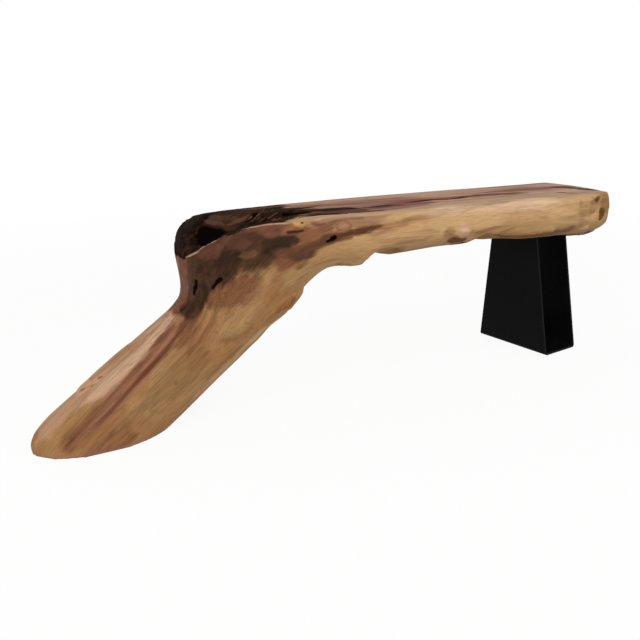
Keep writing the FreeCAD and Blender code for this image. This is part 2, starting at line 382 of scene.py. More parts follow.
paints["smoke"] = Paint((50, 37, 27), 0.25, [
    ([(270, 244.4), (280, 240), (290, 239.6), (302, 240.4)], 4, 12, 0.9),
])
paints["purple"] = Paint((88, 55, 48), 0.34, [
    ([(290, 256), (300, 255), (312, 254)], 1.5, 14, 0.65),
    ([(298.6, 260), (300, 270)], 1, 8, 0.4),
])
paints["streak"] = Paint((92, 62, 42), 0.38, [
    ([(340, 236.4), (331, 240.6), (324, 243.4), (316, 246.6), (308, 249.4), (292, 253)],
     3.0, 11, 1.2),
    ([(318, 240.5), (303, 247), (288, 251.4)], 1, 6, 0.6),
    ([(326, 240), (334, 238), (342, 236.4), (350, 234.6)], 6, 9, 1.15),
    ([(340, 236), (356, 231.6), (372, 227.4), (390, 225)], 1.2, 6, 1.0),
])
paints["red_streak"] = Paint((132, 86, 54), 0.4, [
    ([(328, 239.4), (340, 235.4), (350, 232.3), (359, 229.2), (369, 226.9), (380, 225.6),
     (398, 223)], 1.0, 6.5, 1.1),
    ([(330, 240.6), (342, 237.4), (352, 235.2), (364, 231.4), (380, 227.6)], 0.6, 5, 0.9),
    ([(336, 264), (352, 264.3), (362, 261.5), (376, 255)], 3, 20, 0.85),
    ([(272, 314), (284, 305), (295, 295)], 5, 14, 0.95),
    ([(374, 254), (384, 252), (397, 252.5), (412, 249.6)], 2, 18, 0.4),
    ([(562, 236), (580, 235), (592, 230)], 6, 14, 0.6),
    ([(286, 266), (306, 264.5), (322, 262), (344, 257)], 1.0, 9, 0.4),
], True)
paints["core"] = Paint((86, 54, 37), 0.3, [
    ([(352, 234.6), (364, 231.6), (374, 230)], 1.6, 7, 0.7),
    ([(336, 238), (344, 235), (352, 232)], 2.2, 6, 1.2),
    ([(350, 232.4), (360, 229.4), (372, 227), (392, 224.2)], 0.8, 4.5, 1.0),
], True)
paints["arch"] = Paint((114, 78, 57), 0.3, [
    ([(312, 223.4), (320, 225.6), (327, 226), (332, 223.6), (337, 220.8), (346, 219),
     (362, 217.8)], 2.0, 6, 1.15),
    ([(318, 228.6), (328, 229.4), (334, 228)], 2, 7, 0.8),
], True)
paints["faint_streak"] = Paint((152, 114, 78), 0.42, [
    ([(380, 228), (391, 226), (402, 223.2), (413, 219.8)], 5, 12, 1.0),
    ([(372, 236), (404, 235), (420, 234), (438, 232)], 6, 28, 0.62),
    ([(384, 226.6), (401, 222.2), (412, 218.4), (424, 215), (440, 211), (462, 206)],
     2.2, 12, 0.85),
    ([(384, 229), (412, 221.8), (432, 216.5), (454, 211)], 1, 8, 0.7),
    ([(298, 219.8), (318, 220.5), (334, 218.4)], 1, 7, 0.6),
    ([(474, 233), (492, 229), (514, 227.4)], 1.6, 10, 0.55),
    ([(443, 233), (450, 232.4), (456, 233)], 5, 16, 0.95),
    ([(449, 238.6), (458, 237)], 6, 12, 1.1),
    ([(589, 215), (593, 206), (598, 198)], 5, 10, 0.9),
    ([(581, 200), (582, 214), (581, 227)], 2, 10, 0.4),
    ([(586, 204), (585, 216)], 3, 8, 0.4),
    ([(510, 240), (540, 238), (566, 233)], 3, 16, 0.4),
], True)
# Painted highlights, pink, on the top of the burl and left of the ringed knot, and a pink patch of
# the wood near the right-hand end.
paints["pink"] = Paint((198, 159, 136), 0.3, [
    ([(461.6, 227), (465, 231)], 3.5, 14, 1.15),
    ([(576, 231), (584, 228), (588, 225)], 3, 12, 0.45),
    ([(312, 219), (322, 218.8)], 1.6, 7, 0.8),
])
paints["yellow"] = Paint((176, 138, 84), 0.24, [
    ([(292, 223.4), (300, 224.2), (306, 225)], 4, 9, 0.95),
])
paints["knot_face"] = Paint((172, 130, 103), 0.15, [
    ([(340, 226.4), (343.5, 226), (347, 226)], 6, 6, 0.25),
])
paints["ring_line"] = Paint((138, 91, 68), 0.08, [
    ([(335.6, 227), (337.4, 223.6), (341, 221.8), (345.6, 221.8), (349.6, 223.8), (350.8, 226.4),
     (348.6, 229.4), (343.6, 231), (338.8, 230.2), (335.6, 227)], 0.7, 4, 0.85),
    ([(213.6, 333.2), (216, 331.8), (218, 330.4)], 1.6, 4, 0.95),
    ([(98, 379.6), (103, 376.4)], 1.4, 4, 0.85),
    ([(174, 384), (178, 382)], 1.0, 5, 0.7),
])
# The dark spot below the burl, darkened further as painted shade under its bump, and a dark patch
# low near the right-hand end.
paints["burl"] = Paint((104, 68, 48), 0.25, [
    ([(451, 240), (456.4, 237.6), (461.4, 236.6)], 5, 9, 1.15),
    ([(570, 235.6), (578, 234.4), (586, 232.4), (589, 230)], 3, 12, 0.95),
], True)
paints["burl_core"] = Paint((38, 24, 17), 0.12, [
    ([(454.6, 242), (458.4, 241), (462, 240.4)], 4.4, 6, 1.2),
], True)
paints["dark_line"] = Paint((56, 32, 21), 0.25, [
    ([(272, 221.4), (282, 220.8), (290, 219)], 4, 8, 1.2),
    ([(288, 231.9), (293, 231.4), (297, 231.2)], 1.6, 5, 1.2),
    ([(296, 231.3), (305, 229.9)], 0.6, 4, 1.0),
])
paints["blush"] = Paint((200, 166, 134), 0.45, [
    ([(396, 214), (430, 210.4), (470, 207.2), (510, 204), (550, 201.6), (574, 200.6)],
     10, 18, 0.95),
], True)
paints["end_mark"] = Paint((92, 60, 30), 0.15, [
    ([(596.4, 200.6), (598.4, 197)], 2.4, 5, 1.15),
])
paints["end_knot"] = Paint((96, 66, 26), 0.06, [
    ([(600.7, 217), (601, 214.2), (601.2, 211.6)], 8.6, 4, 1.2),
])
# The thin edge of the shell in front of the hollow
lip_paints = {}
lip_paints["lip"] = Paint((184, 141, 117), 0.1, [
    ([(184, 258), (188, 256.4), (197, 252.2), (207, 244.6), (215, 241.2), (221, 237.2)],
     1.2, 2.6, 0.7),
    ([(236, 231.4), (250, 227.6), (262, 225.6), (273, 224), (288, 223.4), (304, 220.2)],
     1.4, 2.6, 0.75),
])
# Paints of the planed top only, which the photograph sees at a flat angle
top_paints = {}
top_paints["top_dark"] = Paint((124, 88, 76), 0.5, [
    ([(296, 207), (340, 203.8), (385, 200.6), (440, 197)], 14, 40, 0.55),
    ([(287, 214), (320, 212.5), (360, 209.5), (400, 205.4), (440, 200.6)], 30, 40, 0.8),
    ([(430, 199.6), (480, 195.4), (530, 193)], 7, 20, 0.85),
])
top_paints["top_brown"] = Paint((92, 60, 48), 0.5, [
    ([(276, 215.5), (305, 213.4), (325, 212), (348, 210.4), (374, 208.4)], 34, 32, 1.0),
    ([(366, 208.4), (384, 206.4), (404, 203.8)], 9, 22, 0.8),
    ([(546, 186.5), (558, 187), (572, 187.8), (590, 189.4), (604, 190.8)], 9, 22, 0.95),
    ([(556, 192.2), (578, 193.8)], 4, 16, 0.6),
    ([(282, 207), (306, 205.4), (326, 204.6)], 8, 22, 0.7),
])
top_paints["top_red"] = Paint((134, 76, 60), 0.45, [
    ([(388, 203.6), (408, 201.8), (424, 200.4), (444, 198.8), (468, 196)], 8, 20, 0.85),
])
top_paints["top_black"] = Paint((48, 28, 21), 0.55, [
    ([(276, 213.6), (296, 212), (311, 210.8), (326, 210.2), (345, 208.8), (366, 207.4)],
     13, 24, 1.0),
    ([(357, 208.2), (374, 206.8), (394, 204.6)], 3.5, 14, 0.85),
    ([(278, 218.6), (300, 216.8), (320, 214.7), (333, 214.3), (352, 213)], 9, 18, 1.0),
    ([(346, 213.4), (364, 212.1), (388, 210.2)], 2.5, 11, 0.85),
    ([(280, 211.6), (300, 208.8), (318, 206)], 4, 14, 0.9),
    ([(406, 202.8), (422, 200.9), (433, 199.7), (444, 199.7), (458, 198.2), (470, 195.6)],
     3, 11, 0.95),
    ([(462, 196.4), (480, 194.9), (500, 193.6), (528, 192)], 2, 11, 0.8),
])
top_paints["top_sap"] = Paint((182, 148, 118), 0.4, [
    ([(296, 219.4), (320, 217.8), (350, 215.8), (380, 213.6), (410, 211.2), (440, 208.4),
     (470, 205.8), (500, 202.6), (530, 200), (560, 197.6), (590, 195.4), (612, 191)], 16, 24, 1.4),
    ([(400, 209.6), (440, 205.6), (480, 201.6), (530, 197.2), (560, 195.2), (596, 192.8)],
     18, 34, 1.0),
])
top_paints["top_edge"] = Paint((204, 174, 144), 0.4, [
    ([(420, 209.6), (444, 207.6), (468, 206), (492, 204), (516, 201.6), (540, 199.4),
     (564, 197.4)], 14, 24, 1.1),
])
# Paints of the rotten wood
rot_paints = {}
rot_paints["rot_brown"] = Paint((60, 40, 31), 0.6, [
    ([(204, 221), (214, 224), (228, 224.4), (240, 224)], 9, 16, 1.1),
    ([(212, 215), (232, 213), (252, 210.6), (266, 209)], 16, 30, 0.85),
    ([(236, 208.6), (252, 207.6), (268, 206), (290, 204.6), (306, 204)], 16, 24, 1.2),
    ([(186, 234), (190, 246), (188, 254)], 3, 10, 0.5),
])
rot_paints["rot_pale"] = Paint((98, 68, 54), 0.55, [
    ([(203, 220), (212, 222.4), (226, 224.4)], 1.4, 6, 0.55),
    ([(208, 216.6), (222, 218), (238, 216)], 2, 7, 0.4),
    ([(232, 221), (242, 219.4), (252, 215)], 1.4, 6, 0.4),
    ([(240, 209.6), (256, 208.2), (272, 206.6), (290, 205.4)], 7, 16, 0.85),
    ([(266, 221.4), (276, 220)], 2, 6, 0.7),
])
# Painted shade: near black deep in the hollow and in its pits.
rot_paints["rot_black"] = Paint((10, 5, 4), 0.35, [
    ([(196, 230.4), (206, 230.6), (217, 232.4), (227, 232)], 7, 13, 1.0),
    ([(195, 237), (208, 237), (222, 235)], 9, 14, 1.0),
    ([(198, 243), (209, 240)], 6, 12, 1.0),
    ([(244, 223), (254, 216), (261, 211)], 4, 9, 0.9),
    ([(262, 221), (267, 218)], 4, 8, 0.9),
])
rot_paints["rot_olive"] = Paint((34, 27, 15), 0.4, [
    ([(264, 214), (272, 213), (280, 215), (286, 218)], 18, 24, 1.0),
])
rot_paints["splinter"] = Paint((94, 63, 47), 0.35, [
    ([(240, 223.6), (251, 217), (263, 209), (272, 206)], 0.5, 3.2, 0.8),
    ([(236, 223), (245, 218), (254, 212)], 0.4, 3.0, 0.6),
    ([(246, 223.4), (253, 220), (259, 214), (266, 209.6)], 0.4, 3.0, 0.8),
    ([(252, 222.6), (259, 218), (267, 211.6), (277, 207.6)], 0.6, 3.2, 0.8),
    ([(258, 222.4), (264, 218.4), (271, 213)], 0.4, 3.0, 0.65),
    ([(262, 221.6), (268, 218), (276, 213), (286, 209)], 0.5, 3.2, 0.8),
    ([(268, 221.4), (275, 218), (282, 213.6)], 0.4, 3.0, 0.65),
    ([(273, 221), (280, 218), (288, 215)], 0.5, 3.2, 0.75),
    ([(226, 225), (238, 221)], 1.2, 4, 0.6),
])
rot_paints["slate"] = Paint((44, 34, 32), 0.4, [
    ([(183, 257.6), (177.5, 247), (177.5, 237), (182, 229), (189, 220.4), (198, 214.4),
     (212, 212.4)], 7, 14, 0.95),
])
# Slits: pixels, half width in millimetres, and strength.
slit_rows = [
    ([(284, 214.6), (291, 213.6), (300, 212.6), (311, 211.2), (322, 210.7), (333, 209.7),
     (346, 208.9), (357, 208)], 4.6, 1.0),
    ([(290, 210.8), (308, 209.8), (322, 209), (340, 208.2)], 3.0, 1.0),
    ([(357, 208), (366, 207.6), (378, 206.2), (389, 205)], 2.4, 1.0),
    ([(286, 218.6), (298, 217.4), (311, 216), (320, 214.8), (332, 214.4), (346, 213.7)], 3.6, 1.0),
    ([(316, 214), (328, 213.5), (342, 212.8)], 2.4, 1.0),
    ([(346, 213.4), (360, 212.3), (372, 211.4), (383, 210.6)], 1.8, 0.9),
    ([(290, 210.4), (302, 208.2), (313, 206.6)], 3.0, 1.0),
    ([(378, 204.6), (390, 203.9)], 0.9, 0.8),
    ([(411, 202.4), (422, 200.9), (433, 199.7), (444, 199.6), (458, 198.2), (463, 196.4)],
     2.2, 0.9),
    ([(463, 196.4), (480, 195), (497, 193.8), (515, 193)], 1.3, 0.8),
    ([(195.4, 282), (195.6, 286), (194, 289.6)], 4.8, 1.0),
    ([(194, 289.6), (193.6, 293.4)], 3.4, 1.0),
    ([(219.6, 280), (216.4, 282.6)], 5.0, 1.0),
    ([(216.4, 282.6), (212, 288.4)], 3.4, 1.0),
    ([(332.4, 239), (335.4, 237.6)], 4.6, 1.0),
    ([(327.6, 241.8), (331.4, 239.8)], 2.0, 1.0),
    ([(454.6, 241.8), (458, 240.8), (461.6, 240.6)], 4.2, 1.0),
    ([(200.6, 390.6), (204.6, 386.4), (209, 382.6)], 1.7, 1.0),
    ([(172.6, 309.6), (176.4, 303), (178.4, 298)], 1.8, 0.9),
    ([(301.4, 223.4), (302.4, 223.1)], 1.4, 0.8),
]
# Rows of shape: pixels, half width, soft edge and height in millimetres.
shape_rows = [
    ([(182, 300), (172, 320), (158, 337), (142, 353), (124, 371), (106, 389), (88, 406)],
     6, 24, 6.0),
    ([(200, 304), (188, 320), (172, 341), (156, 360), (140, 377), (122, 398)], 1.5, 11, -3.0),
    ([(462, 236), (465, 226)], 9, 18, 10.0),
    ([(452, 222), (455, 214)], 4, 16, -2.0),
    ([(336, 226), (343.5, 225.8), (351, 225.4)], 4, 12, 2.5),
    ([(300, 255), (313.5, 248.1), (327, 241.8)], 2, 10, -3.0),
    ([(337, 236.5), (353.4, 233.3), (369.4, 229), (386, 225.4), (402, 222)], 2, 9, -2.5),
    ([(390, 229), (412, 222), (436, 215.6)], 2, 12, -1.8),
    ([(579.6, 200), (580, 214), (579, 226)], 2, 9, -2.4),
    ([(586, 204), (585, 216)], 2, 8, -1.6),
    ([(583, 228), (588, 227)], 4, 10, 3.0),
    ([(590, 211), (594, 203), (597, 199)], 2, 6, -2.0),
    ([(603.5, 193), (605, 200), (605.6, 208)], 8, 22, 5.0),
    ([(608, 214), (605.6, 221)], 6, 14, -5.0),
    ([(290, 303), (297, 294)], 8, 20, 9.0),
    ([(344, 263), (358, 261.4)], 6, 14, 6.0),
    ([(392, 251.6), (402, 250.4)], 7, 14, 4.0),
    ([(453, 241.6), (466, 239.6)], 8, 14, 7.0),
    ([(494, 233.6), (524, 233), (546, 231)], 14, 14, 6.5),
    ([(576, 235), (590, 231)], 6, 14, 4.0),
    ([(84, 388), (96, 376), (112, 362), (128, 349)], 6, 22, 6.5),
    ([(243, 256), (251, 254.4), (257, 253)], 4, 10, 2.0),
    ([(230, 262), (246, 258), (262, 254)], 2, 12, -2.0),
    ([(211, 292), (224, 280), (240, 269), (258, 261), (284, 257)], 3, 20, -3.0),
    ([(228, 296), (240, 300), (252, 294)], 4, 22, 2.0),
    ([(284, 304), (276, 310)], 6, 18, 4.0),
    ([(352, 263), (362, 259)], 6, 18, 3.0),
    ([(293, 224.6), (304, 225.6)], 4, 9, 2.2),
    ([(290, 231.4), (304, 230.2)], 3, 9, -2.0),
]
# Dents of the underside, which run across the log, as above.
dent_rows = [
    ([(474, 241), (482, 240)], 8, 16, -11.0),
    ([(373, 258), (381, 256), (389, 254.6)], 7, 16, -12.0),
]


def chain_place(points, line):
    """For each point: distance to a chain of straight runs, share along it and nearest run."""
    best = np.full(len(points), np.inf)
    along = np.zeros(len(points))
    nearest = np.zeros(len(points), int)
    done = 0.0
    for number, (start, end) in enumerate(zip(line[:-1], line[1:])):
        run = end - start
        length = np.linalg.norm(run)
        share = np.clip((points - start) @ run / length ** 2, 0, 1)
        gap = np.linalg.norm(points - start - share[:, None] * run, axis=1)
        nearer = gap < best
        best[nearer] = gap[nearer]
        along[nearer] = done + share[nearer] * length
        nearest[nearer] = number
        done += length
    return best, along / done, nearest


def smoothstep(low, high, x):
    t = np.clip((x - low) / (high - low), 0, 1)
    return t * t * (3 - 2 * t)


def rough(points, factors, seed):
    """Gradient noise of each point, from -1 to 1, at a scale given for each axis."""
    moved = points * np.array(factors, float) + seed
    return np.array([noise.noise(point) for point in moved])


def rough_sum(points, noises):
    return sum(height * rough(points, factors, seed) for height, factors, seed in noises)


def read(items, field, width=3, kind=float):
    """One field of all the items of a mesh, a row for each."""
    values = np.zeros(len(items) * width, kind)
    items.foreach_get(field, values)
    return values.reshape(-1, width)


def set_points(mesh, points):
    mesh.vertices.foreach_set("co", points.ravel())
    mesh.update()


def relax(points, edges, weight, steps):
    """Moves each point towards the mean of its neighbours, by its own weight or one for all."""
    count = np.bincount(edges.ravel(), minlength=len(points)).astype(float)
    for step in range(steps):
        mean = np.empty_like(points)
        for axis in range(points.shape[1]):
            mean[:, axis] = np.bincount(edges[:, 0], points[edges[:, 1], axis], len(points))
            mean[:, axis] += np.bincount(edges[:, 1], points[edges[:, 0], axis], len(points))
        mean /= count[:, None]
        points = points + np.reshape(weight, (-1, 1)) * (mean - points)
    return points


def store(mesh, layers):
    """Keeps each layer of values as an attribute of the mesh's points."""
    for name, values in layers.items():
        kind, field = ("FLOAT", "value") if values.ndim == 1 else ("FLOAT_VECTOR", "vector")
        layer = mesh.attributes.new(name, kind, "POINT")
        layer.data.foreach_set(field, values.astype(np.float32).ravel())


def add_object(name, data):
    piece = bpy.data.objects.new(name, data)
    bpy.context.scene.collection.objects.link(piece)
    return piece


class Caster:
    """Casts pixels of the photograph on a mesh."""

    def __init__(self, mesh, turn):
        corners = [tuple(polygon.vertices) for polygon in mesh.polygons]
        self.tree = BVHTree.FromPolygons([v.co for v in mesh.vertices], corners)
        self.eye = Vector((leg_x, 0, 0)) + camera_offset
        self.turn = turn

    def hit(self, pixel):
        """Where a pixel meets the log, or the nearest place of the log if it passes beside it."""
        across = (pixel[0] - photo_centre[0]) / photo_size
        up = (photo_centre[1] - pixel[1]) / photo_size
        ray = self.turn @ Vector((across, up, -1)).normalized()
        place = self.tree.ray_cast(self.eye, ray)[0]
        if place is None:
            near = [self.tree.find_nearest(self.eye + ray * step) for step in missed_steps]
            place = min(near, key=lambda found: found[3])[0]
        return np.array(place)

    def chain(self, pixels):
        return [self.hit(pixel) for pixel in pixels]

    def far_chain(self, chain):
        """The same chain on the far side of the log."""
        mirrored = [Vector(place * (1, -1, 1)) for place in chain]
        return [np.array(self.tree.find_nearest(place)[0]) for place in mirrored]


def paint_layer(caster, points, wobbles, rows, both_sides=False):
    """How far inside its rows each point lies: 0.5 at the middle of the soft edge, 1 within it."""
    total = np.full(len(points), -1.0)
    for pixels, half_width, soft, amount in rows:
        chain = caster.chain(pixels)
        chains = [chain, caster.far_chain(chain)] if both_sides else [chain]
        tapers = pixels[0] != pixels[-1] and amount <= blunt_above
        for line in chains:
            distance, along = chain_place(points, line)[:2]
            distance = distance / millimetre + wobble_share * soft * wobbles
            tip = 1 - smoothstep(0, tip_share, np.minimum(along, 1 - along))
            distance += tip * (half_width + soft / 2) * tapers
            inside = 0.5 + (half_width + soft / 2 - distance) / soft
            total = np.maximum(total, np.minimum(amount, inside))
    return total


def slit_layer(caster, points, rows):
    """0.5 on the border of the slits, more inside them, falling off over slit_reach."""
    total = np.full(len(points), -1.0)
    for pixels, half_width, amount in rows:
        distance = chain_place(points, caster.chain(pixels))[0] / millimetre
        inside = 0.5 + amount * (half_width - distance) / slit_reach
        total = np.maximum(total, inside)
    return total


def shape_height(caster, points, wobbles, rows, squeeze=(1, 1, 1)):
    """Height in millimetres that the rows of shape add at each point."""
    total = np.zeros(len(points))
    for pixels, half_width, soft, height in rows:
        chain = [place * squeeze for place in caster.chain(pixels)]
        distance = chain_place(points * squeeze, chain)[0] / millimetre
        distance += shape_wobble_share * soft * wobbles
        total += height * (1 - smoothstep(half_width, half_width + soft, distance))
    return total


def divide(mesh, chosen):
    """Halves every edge between two chosen points."""
    shape = bmesh.new()
    shape.from_mesh(mesh)
    edges = [edge for edge in shape.edges if all(chosen[v.index] for v in edge.verts)]
    bmesh.ops.subdivide_edges(shape, edges=edges, cuts=1, use_grid_fill=True)
    bmesh.ops.triangulate(shape, faces=[face for face in shape.faces if len(face.verts) > 4])
    shape.to_mesh(mesh)
    shape.free()


def log_mesh():
    """The CAD log with an even mesh of small faces."""
    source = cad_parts["log"]
    piece = add_object("log_skin", source.data.copy())
    remesh = piece.modifiers.new("remesh", "REMESH")
    remesh.mode = "VOXEL"
    remesh.voxel_size = voxel_size
    depsgraph = bpy.context.evaluated_depsgraph_get()
    mesh = bpy.data.meshes.new_from_object(piece.evaluated_get(depsgraph))
    piece.modifiers.clear()
    piece.data = mesh
    return piece


def grain_frame(points):
    """Length along the log's middle line, then across and up from it."""
    steps = np.linspace(0, 1, bend_steps)[:, None]
    bend = ((1 - steps) ** 2 * bend_start + 2 * steps * (1 - steps) * bend_control
            + steps ** 2 * bend_end)
    line = np.vstack([root_line_start, bend, seat_line_end])
    runs = line[1:] - line[:-1]
    flat = points[:, [0, 2]]
    distance, along, nearest = chain_place(flat, line)
    run = runs[nearest]
    gap = flat - line[nearest]
    side = np.sign(run[:, 0] * gap[:, 1] - run[:, 1] * gap[:, 0])
    length = np.linalg.norm(runs, axis=1).sum()
    return np.column_stack([along * length, points[:, 1], side * distance])


def bowl_gap(points):
    """How far inside the hollow's two balls each point lies, in metres."""
    gaps = [np.linalg.norm(points - centre, axis=1) for centre in hollow_centres]
    return hollow_radius - np.minimum(*gaps)


def rot_places(points, wobbles):
    """1 on the rotten wood of the hollow and of the broken end behind its lip."""
    x, y, z = points.T
    bowl = smoothstep(*bowl_edge, bowl_gap(points))
    behind = smoothstep(*rot_end_edge, np.interp(y, *rot_end) - x)
    top = (behind * smoothstep(*rot_top_edge, z)
           * smoothstep(*rot_front_edge, y - np.interp(x, *rot_front)))
    left = (smoothstep(*lip_left_edge, x) * smoothstep(*lip_back_edge, y - np.interp(x, *lip_back))
            * smoothstep(*lip_low_edge, z + lip_low_wobble * wobbles))
    return np.maximum(np.maximum(bowl, top), left)


def fray_height(points):
    """Torn fibres of the rotten wood: long narrow ridges that lean across the log, and lumps."""
    x, y, z = points.T
    low, high = fray_lean
    lean = np.column_stack([low * x + high * y, high * x - low * y, z])
    ridges = sum(height * (1 - 2 * abs(rough(lean, factors, seed)))
                 for height, factors, seed in fray_noises)
    return ridges + rough_sum(points, lump_noises)


def over_leg(points, reach):
    """Whether a point lies on the wood that rests on the leg."""
    return (abs(points[:, 0] - leg_x) < reach) & (points[:, 2] < leg_high.z + rest_height)


def smooth_log(mesh):
    """Rounds off the steps of the mesh, and leaves its flat, rotten and resting places sharper."""
    points = read(mesh.vertices, "co")
    edges = read(mesh.edges, "vertices", 2, int)
    z = points[:, 2]
    sound = 1 - rot_places(points, np.zeros(len(points)))
    free = smoothstep(*flat_span, seat_top - z) * smoothstep(*flat_span, z) * sound
    free[over_leg(points, calm_reach)] *= calm_share
    points = relax(points, edges, relax_share * free, body_smooth_steps)
    x = points[:, 0]
    middle = smoothstep(*round_start_span, x) * smoothstep(*round_end_span, x) * sound
    points = relax(points, edges, relax_share * middle, round_smooth_steps)
    set_points(mesh, relax(points, edges, relax_share, edge_smooth_steps))


def refine_log(mesh, caster):
    """Divides the mesh where the slits, the small marks and the rotten wood are."""
    rows = [row for name in fine_paints for row in paints[name].rows] + lip_paints["lip"].rows
    for reach in fine_reaches:
        points = read(mesh.vertices, "co")
        still = np.zeros(len(points))
        marked = paint_layer(caster, points, still, rows) > 0
        rotten = (rot_places(points, still) > fine_rot) & (reach == fine_reaches[0])
        slit = slit_layer(caster, points, slit_rows) > 0.5 - reach / slit_reach
        divide(mesh, slit | marked | rotten)


def sculpt_log(piece, turn):
    """Gives the log its relief and its layers of paint, and returns each point's material slot."""
    mesh = piece.data
    smooth_log(mesh)
    caster = Caster(mesh, turn)
    refine_log(mesh, caster)
    points = read(mesh.vertices, "co")
    edges = read(mesh.edges, "vertices", 2, int)
    normals = read(mesh.vertex_normals, "vector")
    x, y, z = points.T
    facing_x, facing_z = normals[:, 0], normals[:, 2]

    grain = grain_frame(points)
    wobbles = rough_sum(points, wobble_noises)
    rot = rot_places(points, wobbles)
    top = smoothstep(*sawn_edge, seat_top - z) * (facing_z > sawn_normal)
    foot = smoothstep(*sawn_edge, z) * (facing_z < -sawn_normal)
    sawn = np.maximum(top, foot)
    slits = slit_layer(caster, points, slit_rows)

    height = shape_height(caster, points, wobbles, shape_rows)
    dents = shape_height(caster, points, wobbles, dent_rows, dent_squeeze)
    height += dents * smoothstep(*dent_facing, facing_z)
    height += (1 - sawn) * rough_sum(grain, body_noises)
    height *= 1 - rot
    torn = np.maximum(smoothstep(*fray_bowl_edge, bowl_gap(points)), fray_rim_share)
    calm = 1 - back_rim_share * smoothstep(*back_rim_span, y)
    height += rot * torn * fray_depth * (fray_height(points) - fray_middle) * calm
    height[over_leg(points, rest_reach) & (abs(y) < rest_half_width)] = 0
    height -= slit_depth * smoothstep(*slit_edge, slits)
    moved = points + normals * (height * millimetre)[:, None]
    set_points(mesh, np.clip(moved, log_low, log_high))

    spread_sawn = relax(sawn[:, None], edges, sawn_relax_share, sawn_smooth_steps)
    crack = (z > crack_floor) & (y > crack_across[0]) & (y < crack_across[1]) & (x < crack_end)
    low_strength = 1 + low_more * smoothstep(*low_more_span, x)
    layers = {
        "grain": grain,
        "sawn": spread_sawn[:, 0],
        # Painted shade of the right-hand end here, and of the lower side in the low layer below
        "end": smoothstep(*end_span, x) * (1 - sawn),
        "cut": smoothstep(*cut_facing, facing_x) * smoothstep(*cut_span, x),
        "rot": rot,
        "slit": np.clip(slits, -1, 1),
        "sunk": smoothstep(*crack_edge, z) * crack * (1 - rot),
        "low": smoothstep(*low_edge, z) * smoothstep(*low_span, x) * low_strength,
    }
    for name, paint in (paints | lip_paints | top_paints | rot_paints).items():
        layers[name] = paint_layer(caster, points, wobbles, paint.rows, paint.both_sides)
    store(mesh, layers)
    slots = np.where(sawn > sawn_slot_from, 1, 0)
    slots[np.maximum(rot, slits) > dark_slot_from] = 2
    return slots


def add_camera():
    """The photograph's camera: upright, rolled a little, with the horizon above the middle."""
    camera = add_object("camera", bpy.data.cameras.new("camera"))
    camera.data.lens = camera_lens
    camera.data.sensor_width = camera_lens
    camera.data.shift_y = (photo_centre[1] - photo_size / 2) / photo_size
    tilt = Euler((math.pi / 2 - camera_elevation, 0, camera_azimuth)).to_matrix()
    turn = tilt @ Matrix.Rotation(camera_roll, 3, "Z")
    camera.matrix_world = turn.to_4x4()
    camera.location = Vector((leg_x, 0, 0)) + camera_offset
    bpy.context.scene.camera = camera
    return turn


def add_lamp(name, place, size, power):
    """A square soft box that faces the middle of the bench."""
    light = bpy.data.lights.new(name, "AREA")
    light.shape = "SQUARE"
    light.size = size
    light.energy = power
    lamp = add_object(name, light)
    lamp.location = place
    aim = Vector((0, 0, seat_top / 2)) - Vector(place)
    lamp.rotation_euler = aim.to_track_quat("-Z", "Y").to_euler()


